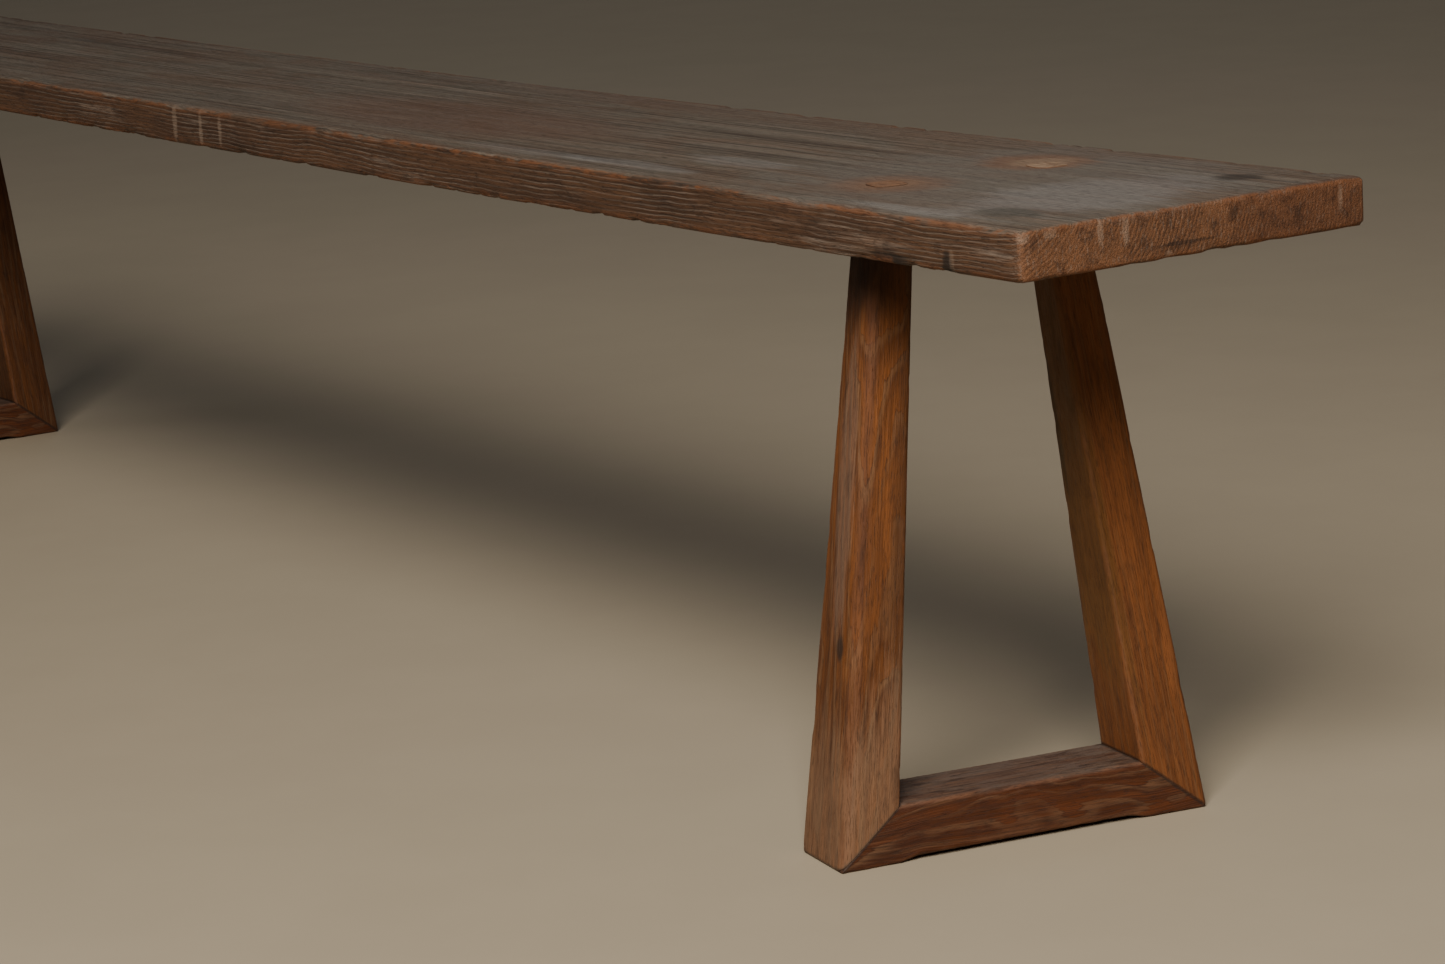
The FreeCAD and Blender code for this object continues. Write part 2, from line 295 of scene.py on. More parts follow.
PLANK_FINISH = WoodFinish(
    name="weathered plank", early=(0.094, 0.044, 0.020), late=(0.020, 0.0092, 0.0045),
    streak=(0.200, 0.150, 0.112), end=(0.168, 0.072, 0.030), arris=(0.165, 0.056, 0.016),
    pith=(-0.178, 0.505), climb=(0.0, 0.004), spacing=0.0031, ring=0.80, lines=0.60, streaks=0.36,
    patina=(0.114, 0.094, 0.068), patina_share=0.97, roughness=0.68, relief=0.0012, seed=3.0,
    marks=(
        on_top(0.300, -0.030, 0.260, 0.075, (0.100, 0.050, 0.030), 0.5),
        on_top(0.540, 0.120, 0.500, 0.040, (0.105, 0.066, 0.044), 0.4),
        on_top(1.000, 0.000, 0.240, 0.180, (0.125, 0.108, 0.090), 0.45),
        on_top(1.090, -0.015, 0.075, 0.110, HAZE, 0.22),
        on_top(0.925, 0.066, 0.050, 0.042, TAN, 0.52),
        on_top(0.928, -0.058, 0.056, 0.046, TAN, 0.42),
        on_top(0.930, 0.066, 0.026, 0.026, (0.215, 0.145, 0.090), 0.6),
        on_top(0.928, -0.058, 0.028, 0.028, (0.170, 0.096, 0.054), 0.6),
        on_top(1.111, 0.093, 0.021, 0.018, (0.028, 0.020, 0.014), 0.75),
        on_top(1.108, -0.091, 0.034, 0.022, (0.055, 0.047, 0.034), 0.7),
        on_top(0.740, -0.051, 0.070, 0.018, GREY, 0.13),
        on_top(0.680, -0.101, 0.100, 0.014, GREY, 0.14),
        on_top(0.540, -0.106, 0.110, 0.014, GREY, 0.10),
        on_top(1.040, -0.118, 0.070, 0.012, GREY, 0.15),
        # a dark stain and a bark knot low on the front face, and three old saw marks
        Mark((1.040, -0.136, 0.418), (0.024, 0.012, 0.011), SOOT, 0.9),
        Mark((1.104, -0.136, 0.421), (0.006, 0.012, 0.012), SOOT, 0.85),
        Mark((1.109, -0.136, 0.424), (0.003, 0.012, 0.010), CHALK, 0.14),
        Mark((-0.016, -0.126, 0.434), (0.006, 0.012, 0.020), CHALK, 0.30),
        Mark((0.034, -0.126, 0.434), (0.005, 0.012, 0.018), CHALK, 0.30),
        Mark((0.071, -0.126, 0.434), (0.005, 0.012, 0.016), CHALK, 0.30),
        # a darker side, scratches, chips and a short crack on the end
        Mark((1.180, 0.120, 0.434), (0.012, 0.110, 0.060), (0.075, 0.024, 0.008), 0.42),
        Mark((1.180, -0.077, 0.441), (0.010, 0.0030, 0.011), CHALK, 0.30),
        Mark((1.180, -0.057, 0.441), (0.010, 0.0030, 0.013), CHALK, 0.30),
        Mark((1.174, 0.119, 0.438), (0.012, 0.0034, 0.016), CHALK, 0.30),
        Mark((1.180, -0.008, 0.427), (0.010, 0.030, 0.0014), SOOT, 0.55),
        Mark((1.180, -0.136, 0.446), (0.006, 0.006, 0.005), CHALK, 0.30),
        Mark((1.180, -0.116, 0.446), (0.006, 0.006, 0.004), CHALK, 0.30),
        Mark((1.180, -0.023, 0.420), (0.008, 0.005, 0.004), CHALK, 0.30),
    ))

SEAM = Mark((0.0, 0.0, 0.0), (0.0024, 1.0, 1.0), SOOT, 0.6)
FRONT_LEG = WoodFinish(
    name="front leg", early=(0.172, 0.054, 0.0100), late=(0.046, 0.0135, 0.0028),
    streak=(0.22, 0.105, 0.042), end=(0.20, 0.105, 0.055), arris=(0.20, 0.075, 0.028),
    pith=(0.004, -0.012), climb=(0.03, -0.105), spacing=0.0055, ring=0.80, lines=0.50, streaks=0.24,
    # the dark band at the top is partly stain and partly painted shade under the seat
    stain_and_shade_from=(0.37, 0.43), dirt=0.45, seed=11.0,
    marks=(SEAM,
           Mark((0.140, -0.022, 0.008), (0.010, 0.02, 0.007), SOOT, 0.75),
           Mark((0.230, -0.022, 0.002), (0.120, 0.010, 0.014), (0.22, 0.17, 0.13), 0.25),
           # painted shade: darker where the leg's inner edge rounds away from the light
           Mark((0.240, 0.024, 0.024), (0.240, 0.016, 0.020), (0.060, 0.021, 0.005), 0.7),
           Mark((0.020, 0.0, 0.0), (0.110, 0.070, 0.070), (0.220, 0.145, 0.090), 0.33)))
REAR_LEG = WoodFinish(
    name="rear leg", early=(0.200, 0.064, 0.0145), late=(0.062, 0.019, 0.0045),
    streak=(0.20, 0.098, 0.040), end=(0.30, 0.205, 0.130), arris=(0.15, 0.055, 0.02),
    pith=(0.09, -0.04), climb=(0.012, 0.010), spacing=0.0062, ring=0.35, lines=0.3, streaks=0.15,
    # the dark band from 0.24 m up is partly stain and partly painted shade under the seat
    stain_and_shade=(0.018, 0.0085, 0.0020), stain_and_shade_from=(0.24, 0.75), dirt=0.35, seed=23.0,
    marks=(SEAM,
           Mark((0.240, 0.018, -0.016), (0.070, 0.02, 0.007), SOOT, 0.95),
           # painted shade on the inner face, which lies under the seat
           Mark((0.220, 0.022, 0.0), (0.300, 0.010, 0.05), (0.092, 0.044, 0.009), 0.6),
           Mark((0.372, -0.012, 0.018), (0.014, 0.006, 0.006), (0.30, 0.18, 0.09), 0.5)))
# the far frame's legs: the leg wood painted darker, as painted shade for the weaker light on the
# far frame
SHADED_FAR_FRONT_LEG = WoodFinish(
    name="far front leg in painted shade", early=(0.115, 0.036, 0.007), late=(0.034, 0.0105, 0.0022),
    streak=(0.14, 0.075, 0.035), end=(0.26, 0.12, 0.055), arris=(0.20, 0.075, 0.03),
    pith=(0.01, -0.015), climb=(0.02, -0.08), spacing=0.0068, ring=0.42,
    stain_and_shade_from=(0.38, 0.45), seed=37.0, marks=(SEAM,))
SHADED_FAR_REAR_LEG = WoodFinish(
    name="far rear leg in painted shade", early=(0.110, 0.035, 0.007), late=(0.032, 0.0100, 0.0022),
    streak=(0.13, 0.070, 0.033), end=(0.30, 0.16, 0.08), arris=(0.18, 0.068, 0.027),
    pith=(0.06, -0.045), climb=(0.012, 0.02), ring=0.4, stain_and_shade_from=(0.38, 0.45), seed=51.0,
    marks=(SEAM,))
RAIL_LENGTH = FRAME.foot[End.FRONT] + FRAME.foot[End.REAR] - FRAME.mitre_run
RAIL_FINISH = WoodFinish(
    name="floor rail", early=(0.084, 0.0215, 0.0040), late=(0.022, 0.0058, 0.0013),
    streak=(0.150, 0.072, 0.033), end=(0.13, 0.052, 0.023), arris=(0.17, 0.070, 0.032),
    pith=(-0.03, -0.035), climb=(0.09, 0.0), spacing=0.0060, ring=0.65, lines=0.60, streaks=0.22,
    patina=(0.108, 0.080, 0.060), patina_share=0.85, seed=71.0,
    marks=(SEAM, Mark((RAIL_LENGTH, 0.0, 0.0), SEAM.radii, SOOT, SEAM.strength)))


class Tree:
    """A material's node tree, built by short calls that each return a socket.

    Args:
        name: The material's name.
    """

    def __init__(self, name: str) -> None:
        self.material = bpy.data.materials.new(name)
        self.material.use_nodes = True
        self.tree = self.material.node_tree
        self.shader = self.tree.nodes["Principled BSDF"]

    def feed(self, socket: bpy.types.NodeSocket, source) -> None:
        """Links a socket to source, or sets it when source is a plain value."""
        if isinstance(source, bpy.types.NodeSocket):
            self.tree.links.new(source, socket)
        elif isinstance(source, tuple) and len(source) == 3 and socket.type == "RGBA":
            socket.default_value = (*source, 1.0)
        else:
            socket.default_value = source

    def add(self, kind: str, *inputs, out: int = 0, **settings) -> bpy.types.NodeSocket:
        """Adds a node.

        Args:
            kind: The node's type.
            inputs: What its inputs get, in order; None leaves one alone.
            out: The index of the output to return.
            settings: The node's own properties.

        Returns:
            The chosen output.
        """
        node = self.tree.nodes.new(kind)
        for name, value in settings.items():
            setattr(node, name, value)
        for socket, source in zip(node.inputs, inputs):
            if source is not None:
                self.feed(socket, source)
        return node.outputs[out]

    def math(self, operation: str, a, b=0.0, clamp: bool = False) -> bpy.types.NodeSocket:
        """Adds a Math node."""
        return self.add("ShaderNodeMath", a, b, operation=operation, use_clamp=clamp)

    def vector(self, operation: str, a, b=(0.0, 0.0, 0.0)) -> bpy.types.NodeSocket:
        """Adds a Vector Math node."""
        out = 1 if operation == "LENGTH" else 0
        return self.add("ShaderNodeVectorMath", a, b, operation=operation, out=out)

    def mix(self, factor, a, b, blend: str = "MIX") -> bpy.types.NodeSocket:
        """Mixes two colours."""
        node = self.tree.nodes.new("ShaderNodeMix")
        node.data_type, node.blend_type = "RGBA", blend
        for place, source in ((0, factor), (6, a), (7, b)):
            self.feed(node.inputs[place], source)
        return node.outputs[2]

    def noise(self, vector, scale: float, detail: float = 3.0, rough: float = 0.55,
              twist: float = 0.0) -> bpy.types.NodeSocket:
        """Adds a noise whose value lies about 0 to 1."""
        node = self.tree.nodes.new("ShaderNodeTexNoise")
        for name, value in (("Vector", vector), ("Scale", scale), ("Detail", detail),
                            ("Roughness", rough), ("Distortion", twist)):
            self.feed(node.inputs[name], value)
        return node.outputs["Fac"]

    def between(self, value, low: float, high: float, to_low: float = 0.0,
                to_high: float = 1.0) -> bpy.types.NodeSocket:
        """Eases value from low..high to to_low..to_high, held at both ends."""
        return self.add("ShaderNodeMapRange", value, low, high, to_low, to_high,
                        interpolation_type="SMOOTHSTEP")

    def veil(self, colour, other, field, low: float, high: float,
             share: float) -> bpy.types.NodeSocket:
        """Lays another colour over a colour where a field goes from low to high.

        Args:
            colour: The colour below.
            other: The colour laid over it.
            field: The field that decides where.
            low, high: The field's values where it starts and where it is full.
            share: How much of the other colour shows where it is full.

        Returns:
            The mixed colour.
        """
        return self.mix(self.between(field, low, high, 0.0, share), colour, other)

    def attribute(self, name: str, out: str = "Fac") -> bpy.types.NodeSocket:
        """Reads a vertex attribute of the piece."""
        node = self.tree.nodes.new("ShaderNodeAttribute")
        node.attribute_name = name
        return node.outputs[out]

    def finish(self, colour, roughness, height=None, depth: float = 0.0) -> bpy.types.Material:
        """Feeds the surface shader.

        Args:
            colour, roughness: The surface's own.
            height: The field of its fine relief, if it has one.
            depth: The depth of that relief.

        Returns:
            The finished material.
        """
        self.feed(self.shader.inputs["Base Color"], colour)
        self.feed(self.shader.inputs["Roughness"], roughness)
        self.feed(self.shader.inputs["Specular IOR Level"], SHEEN)
        if height is not None:
            bump = self.tree.nodes.new("ShaderNodeBump")
            bump.inputs["Distance"].default_value = depth
            self.feed(bump.inputs["Height"], height)
            self.feed(self.shader.inputs["Normal"], bump.outputs["Normal"])
        return self.material


class WoodTree(Tree):
    """A wood material built from its finish.

    The piece carries its own coordinates in the attribute "grain" (along, across, through) and the
    shares "end", "top" and "arris" of each vertex.

    Args:
        look: The finish to build.
    """

    def __init__(self, look: WoodFinish) -> None:
        super().__init__(look.name)
        self.look = look
        self.grain = self.attribute("grain", "Vector")
        self.shifted = self.vector("ADD", self.grain, (look.seed, look.seed * 0.7, 0.0))
        parts = self.tree.nodes.new("ShaderNodeSeparateXYZ")
        self.feed(parts.inputs[0], self.grain)
        self.run, self.across, self.through = parts.outputs
        self.top = self.attribute("top")
        self.ended = self.between(self.attribute("end"), 0.35, 0.85)
        self.fibre = self.cloud((11.0, 640.0, 640.0), 4.0)
        self.band = self.cloud((4.5, 130.0, 130.0), 4.0, 0.6, 0.3)
        self.patch = self.cloud((6.0, 20.0, 20.0), 4.0, 0.65, 0.8)
        self.pores = self.between(self.cloud((90.0, 1400.0, 1400.0), 2.0, 0.5), 0.56, 0.68)
        self.dirt = self.cloud((26.0, 90.0, 90.0), 5.0, 0.7, 0.5)
        self.long_lines = self.cloud((1.8, 300.0, 300.0), 3.0, 0.55)

    def cloud(self, stretch: Place, detail: float = 3.0, rough: float = 0.6,
              twist: float = 0.0) -> bpy.types.NodeSocket:
        """Adds a noise over the piece's own coordinates, its frequency given along each of them."""
        return self.noise(self.vector("MULTIPLY", self.shifted, stretch), 1.0, detail, rough, twist)

    def sway(self, stretch: Place, reach: float) -> bpy.types.NodeSocket:
        """Adds a slow shift to both sides, reach wide in all."""
        return self.math("MULTIPLY", self.math("SUBTRACT", self.cloud(stretch, 2.0), 0.5), reach)

    def rings(self) -> tuple[bpy.types.NodeSocket, bpy.types.NodeSocket]:
        """Draws growth rings round a pith line that climbs and wanders along the length.

        Returns:
            The darkness within each ring, and the pale line at its edge.
        """
        look = self.look
        wander = self.math("ADD", self.sway((3.2, 6.0, 6.0), 0.034),
                           self.sway((11.0, 14.0, 14.0), 0.016))
        offsets = []
        for place, pith, climb in zip((self.across, self.through), look.pith, look.climb):
            line = self.math("ADD", self.math("MULTIPLY", self.run, climb), pith)
            offsets.append(self.math("ADD", self.math("SUBTRACT", place, line), wander))
        radius = self.math("SQRT", self.math("ADD", self.math("POWER", offsets[0], 2.0),
                                             self.math("POWER", offsets[1], 2.0)))
        ring_at = self.math("ADD", self.math("DIVIDE", radius, look.spacing),
                            self.math("MULTIPLY", self.cloud((8.0, 60.0, 60.0), 4.0), 1.6))
        within = self.math("FRACT", ring_at)
        faint = self.between(self.cloud((7.0, 30.0, 30.0), 3.0), 0.32, 0.62, 0.15, 1.0)
        slope = self.math("MULTIPLY", self.between(within, 0.0, 0.9), faint)
        edge = self.math("MULTIPLY", self.between(within, 0.60, 0.86),
                         self.between(within, 1.0, 0.94))
        return slope, self.math("MULTIPLY", edge, faint)

    def side(self, slope, edge) -> bpy.types.NodeSocket:
        """Colours the long faces: rings, streaks and fibre."""
        look = self.look
        colour = self.mix(self.math("MULTIPLY", slope, look.ring), look.early, look.late)
        colour = self.veil(colour, look.late, self.band, 0.42, 0.68, 0.34)
        colour = self.veil(colour, look.late, self.patch, 0.42, 0.66, 0.42)
        colour = self.mix(self.math("MULTIPLY", edge, look.lines), colour, look.streak)
        fine = self.between(self.cloud((9.0, 240.0, 240.0), 4.0), 0.50, 0.68)
        wide = self.between(self.cloud((7.0, 34.0, 34.0), 3.0), 0.46, 0.64)
        light = self.math("MULTIPLY", fine, wide)
        light = self.math("MULTIPLY", light, look.streaks * 2.0, clamp=True)
        colour = self.mix(light, colour, look.streak)
        colour = self.veil(colour, look.late, self.fibre, 0.44, 0.70, 0.40)
        return self.veil(colour, look.late, self.long_lines, 0.52, 0.66, 0.32)

    def weathered(self, colour) -> bpy.types.NodeSocket:
        """Lays the weathered grey over the faces that look upwards."""
        look = self.look
        worn = self.veil(look.patina, look.late, self.band, 0.38, 0.66, 0.42)
        worn = self.veil(worn, look.early, self.patch, 0.40, 0.64, 0.42)
        worn = self.veil(worn, look.late, self.dirt, 0.50, 0.74, 0.22)
        worn = self.veil(worn, look.streak, self.fibre, 0.46, 0.72, 0.35)
        worn = self.veil(worn, look.late, self.long_lines, 0.52, 0.66, 0.60)
        worn = self.veil(worn, look.streak, self.long_lines, 0.46, 0.36, 0.35)
        return self.mix(self.math("MULTIPLY", self.top, look.patina_share), colour, worn)

    def end_grain(self, colour, slope) -> bpy.types.NodeSocket:
        """Lays the end grain over the cut ends: the same rings, softer, with open pores."""
        look = self.look
        cut = self.mix(self.math("MULTIPLY", slope, 0.60), look.end, look.late)
        cut = self.veil(cut, look.late, self.dirt, 0.44, 0.68, 0.40)
        open_pores = self.cloud((300.0, 500.0, 160.0), 4.0, 0.7)
        cut = self.veil(cut, look.streak, open_pores, 0.50, 0.70, 0.5)
        return self.mix(self.ended, colour, cut)

    def marked(self, colour) -> bpy.types.NodeSocket:
        """Lays this piece's own marks over it, their edges broken up by the grain."""
        ragged = self.math("ADD", self.math("MULTIPLY", self.patch, 0.9),
                           self.math("MULTIPLY", self.fibre, 1.0))
        ragged = self.math("ADD", ragged, self.math("MULTIPLY", self.band, 0.6))
        for mark in self.look.marks:
            away = self.vector("SUBTRACT", self.grain, mark.centre)
            away = self.vector("MULTIPLY", away, tuple(1 / radius for radius in mark.radii))
            reach = self.math("ADD", self.vector("LENGTH", away), ragged)
            colour = self.veil(colour, mark.colour, reach, 2.30, 1.80, mark.strength)
        return colour

    def soiled_and_shaded(self, colour) -> bpy.types.NodeSocket:
        """Adds worn arrises, dirt, open pores and the dark band of stain and painted shade."""
        look = self.look
        arris = self.math("MULTIPLY", self.math("POWER", self.attribute("arris"), 1.6),
                          self.between(self.dirt, 0.42, 0.56))
        colour = self.mix(self.math("MULTIPLY", arris, 0.85, clamp=True), colour, look.arris)
        grime = self.math("MULTIPLY", self.between(self.dirt, 0.50, 0.72, 0.0, look.dirt),
                          self.math("SUBTRACT", 1.0, self.math("MULTIPLY", self.top, 0.7)))
        colour = self.mix(grime, colour, look.stain_and_shade)
        colour = self.mix(self.math("MULTIPLY", self.pores, 0.40), colour, look.stain_and_shade)
        # the dark band towards a leg's shoulder: partly a real stain, partly painted shade under
        # the seat
        dark = self.between(self.math("ADD", self.run, self.math("MULTIPLY", self.patch, 0.08)),
                            *look.stain_and_shade_from, 0.0, 0.8)
        dark = self.math("MULTIPLY", dark, self.math("SUBTRACT", 1.0, self.ended))
        return self.mix(dark, colour, look.stain_and_shade)

    def build(self) -> bpy.types.Material:
        """Builds the whole material.

        Returns:
            The material.
        """
        slope, edge = self.rings()
        colour = self.end_grain(self.weathered(self.side(slope, edge)), slope)
        colour = self.soiled_and_shaded(self.marked(colour))
        height = self.math("ADD", self.math("MULTIPLY", self.fibre, 0.9),
                           self.math("MULTIPLY", self.band, 0.5))
        height = self.math("ADD", height, self.math("MULTIPLY", self.dirt, 0.7))
        height = self.math("SUBTRACT", height, self.math("MULTIPLY", self.pores, 0.25))
        base = self.look.roughness
        roughness = self.between(self.dirt, 0.3, 0.7, base - 0.08, base + 0.14)
        return self.finish(colour, roughness, height, self.look.relief)


def plain_wood(name: str, pale: Colour, dark: Colour) -> bpy.types.Material:
    """Makes a plain straight-grained wood for a small CAD piece.

    Args:
        name: The material's name.
        pale, dark: Its two colours.

    Returns:
        The material.
    """
    tree = Tree(name)
    place = tree.add("ShaderNodeTexCoord", out=3)
    fibre = tree.noise(tree.vector("MULTIPLY", place, (900.0, 900.0, 40.0)), 1.0, 3.0)
    return tree.finish(tree.mix(fibre, pale, dark), 0.6, fibre, 0.4 * MM)


def soften(x: np.ndarray, y: np.ndarray, half_x, half_y, radius) -> tuple[np.ndarray, np.ndarray]:
    """Rounds the corners of a rectangle: moves the points in each corner square onto arcs.

    Args:
        x, y: Arrays of places, between minus and plus the half sizes.
        half_x, half_y: The half sizes, arrays or numbers.
        radius: The corner's radius, an array or a number.

    Returns:
        The moved x and y.
    """
    over_x = np.maximum(np.abs(x) - (half_x - radius), 0.0)
    over_y = np.maximum(np.abs(y) - (half_y - radius), 0.0)
    length = np.hypot(over_x, over_y)
    both = (over_x > 0) & (over_y > 0)
    shrink = np.where(both, np.maximum(over_x, over_y) / np.where(length > 0, length, 1.0), 1.0)
    new_x = np.where(both, np.sign(x) * (half_x - radius + over_x * shrink), x)
    new_y = np.where(both, np.sign(y) * (half_y - radius + over_y * shrink), y)
    return new_x, new_y


def spread(edge: float, count: int) -> np.ndarray:
    """Spreads places from -1 to 1, closer together near both ends.

    Args:
        edge: The reach of the closer places at each end.
        count: How many places lie between them.

    Returns:
        The places, in order.
    """
    inner = np.linspace(-1 + edge, 1 - edge, count)
    rim = edge * np.array([0.0, 0.28, 0.55, 0.8])
    return np.concatenate([-1 + rim, inner, (1 - rim)[::-1]])


def lattice(xs: np.ndarray, ys: np.ndarray, zs: np.ndarray) -> tuple[np.ndarray, np.ndarray]:
    """Makes the surface of a box as a closed grid.

    Args:
        xs, ys, zs: The places of the grid's lines.

    Returns:
        The corners as an array of places, and the faces as rows of four, all facing outwards.
    """
    shape = (len(xs), len(ys), len(zs))
    on_face = np.zeros(shape, bool)
    for axis in range(3):
        for last in (0, -1):
            where = [slice(None)] * 3
            where[axis] = last
            on_face[tuple(where)] = True
    index = np.full(shape, -1)
    index[on_face] = np.arange(on_face.sum())
    cells = np.argwhere(on_face)
    places = np.stack([xs[cells[:, 0]], ys[cells[:, 1]], zs[cells[:, 2]]], axis=1)
    faces = []
    for axis in range(3):
        for last in (0, -1):
            where = [slice(None)] * 3
            where[axis] = last
            sheet = index[tuple(where)]
            quads = np.stack([sheet[:-1, :-1], sheet[1:, :-1], sheet[1:, 1:], sheet[:-1, 1:]],
                             axis=-1).reshape(-1, 4)
            forward = (last == -1) == (axis != 1)
            faces.append(quads if forward else quads[:, ::-1])
    return places, np.concatenate(faces)


class SurfaceTree:
    """The Geometry Nodes tree that wears a smooth piece.

    It adds slow unevenness and saw marks, and chips the arrises.
    """

    NUMBERS = (("Unevenness", 0.4 * MM), ("Chip Depth", 1.2 * MM), ("Saw Mark Depth", 0.0),
               ("Seed", 0.0))
    SWELL = (7.0, 30.0, 30.0)
    RIDGES = (10.0, 150.0, 150.0)
    CHIPS = (42.0, 90.0, 90.0)
    CHIPS_FROM = 0.53
    CHIP_SLOPE = 6.0
    SAW_WAVES = 900.0

    def __init__(self) -> None:
        self.tree = bpy.data.node_groups.new("worn_surface", "GeometryNodeTree")
        face = self.tree.interface
        self.sockets = {}
        face.new_socket("Geometry", in_out="INPUT", socket_type="NodeSocketGeometry")
        for name, default in self.NUMBERS:
            socket = face.new_socket(name, in_out="INPUT", socket_type="NodeSocketFloat")
            socket.default_value = default
            self.sockets[name] = socket.identifier
        self.sockets["Material"] = face.new_socket(
            "Material", in_out="INPUT", socket_type="NodeSocketMaterial").identifier
        face.new_socket("Geometry", in_out="OUTPUT", socket_type="NodeSocketGeometry")
        self._fill()

    def _node(self, kind: str, **settings) -> bpy.types.Node:
        """Adds a node with the given properties."""
        node = self.tree.nodes.new(kind)
        for name, value in settings.items():
            setattr(node, name, value)
        return node

    def _math(self, operation: str, a, b=0.0) -> bpy.types.NodeSocket:
        """Adds a Math node, each side of it a socket or a number."""
        node = self._node("ShaderNodeMath", operation=operation)
        for socket, source in zip(node.inputs, (a, b)):
            if isinstance(source, bpy.types.NodeSocket):
                self.tree.links.new(source, socket)
            else:
                socket.default_value = source
        return node.outputs[0]

    def _noise(self, place, stretch: Place, seed, detail: float) -> bpy.types.NodeSocket:
        """Adds a noise over a place, its frequency given along each of the place's axes."""
        link = self.tree.links.new
        scale = self._node("ShaderNodeVectorMath", operation="MULTIPLY")
        scale.inputs[1].default_value = stretch
        link(place, scale.inputs[0])
        noise = self._node("ShaderNodeTexNoise", noise_dimensions="4D")
        noise.inputs["Scale"].default_value = 1.0
        noise.inputs["Detail"].default_value = detail
        link(scale.outputs[0], noise.inputs["Vector"])
        link(seed, noise.inputs["W"])
        return noise.outputs[0]

    def _fill(self) -> None:
        """Lays and links the nodes."""
        link = self.tree.links.new
        start, end = self._node("NodeGroupInput"), self._node("NodeGroupOutput")
        grain = self._node("GeometryNodeInputNamedAttribute", data_type="FLOAT_VECTOR")
        grain.inputs["Name"].default_value = "grain"
        arris = self._node("GeometryNodeInputNamedAttribute", data_type="FLOAT")
        arris.inputs["Name"].default_value = "arris"
        place, seed = grain.outputs["Attribute"], start.outputs["Seed"]

        swell = self._math("SUBTRACT", self._noise(place, self.SWELL, seed, 2.0), 0.5)
        ridges = self._math("SUBTRACT", self._noise(place, self.RIDGES, seed, 3.0), 0.5)
        uneven = self._math("ADD", swell, ridges)
        uneven = self._math("MULTIPLY", uneven, start.outputs["Unevenness"])

        chips = self._math("SUBTRACT", self._noise(place, self.CHIPS, seed, 3.0), self.CHIPS_FROM)
        chips = self._math("MAXIMUM", self._math("MULTIPLY", chips, self.CHIP_SLOPE), 0.0)
        chips = self._math("MINIMUM", chips, 1.0)
        chips = self._math("MULTIPLY", chips, arris.outputs["Attribute"])
        chips = self._math("MULTIPLY", chips, start.outputs["Chip Depth"])

        apart = self._node("ShaderNodeSeparateXYZ")
        link(place, apart.inputs[0])
        waves = self._math("SINE", self._math("MULTIPLY", apart.outputs[0], self.SAW_WAVES))
        marks = self._math("MULTIPLY", waves, start.outputs["Saw Mark Depth"])

        height = self._math("ADD", self._math("SUBTRACT", uneven, chips), marks)
        normal = self._node("GeometryNodeInputNormal")
        push = self._node("ShaderNodeVectorMath", operation="SCALE")
        link(normal.outputs[0], push.inputs[0])
        link(height, push.inputs["Scale"])
        move = self._node("GeometryNodeSetPosition")
        smooth = self._node("GeometryNodeSetShadeSmooth")
        real = self._node("GeometryNodeRealizeInstances")
        paint = self._node("GeometryNodeSetMaterial")
        link(start.outputs["Geometry"], move.inputs["Geometry"])
        link(push.outputs[0], move.inputs["Offset"])
        link(move.outputs[0], smooth.inputs["Geometry"])
        link(smooth.outputs[0], real.inputs["Geometry"])
        link(real.outputs[0], paint.inputs["Geometry"])
        link(start.outputs["Material"], paint.inputs["Material"])
        link(paint.outputs[0], end.inputs[0])

    def apply(self, piece: bpy.types.Object, material: bpy.types.Material,
              **numbers: float) -> None:
        """Runs the tree over a piece and keeps the result as the piece's plain mesh.

        Args:
            piece: The smooth piece with its attributes.
            material: The material to give it.
            numbers: Values of the tree's inputs, by name with _ for a space.
        """
        modifier = piece.modifiers.new("worn", "NODES")
        modifier.node_group = self.tree
        for name, value in numbers.items():
            modifier[self.sockets[name.replace("_", " ")]] = value
        modifier[self.sockets["Material"]] = material
        graph = bpy.context.evaluated_depsgraph_get()
        worn = bpy.data.meshes.new_from_object(piece.evaluated_get(graph), depsgraph=graph,
                                               preserve_all_data_layers=True)
        piece.modifiers.clear()
        old, piece.data = piece.data, worn
        bpy.data.meshes.remove(old)


def upward(normals: np.ndarray) -> np.ndarray:
    """The share by which each normal looks upwards, 0 well before it is level."""
    return np.clip(normals[:, 2] * 1.6 - 0.5, 0, 1)


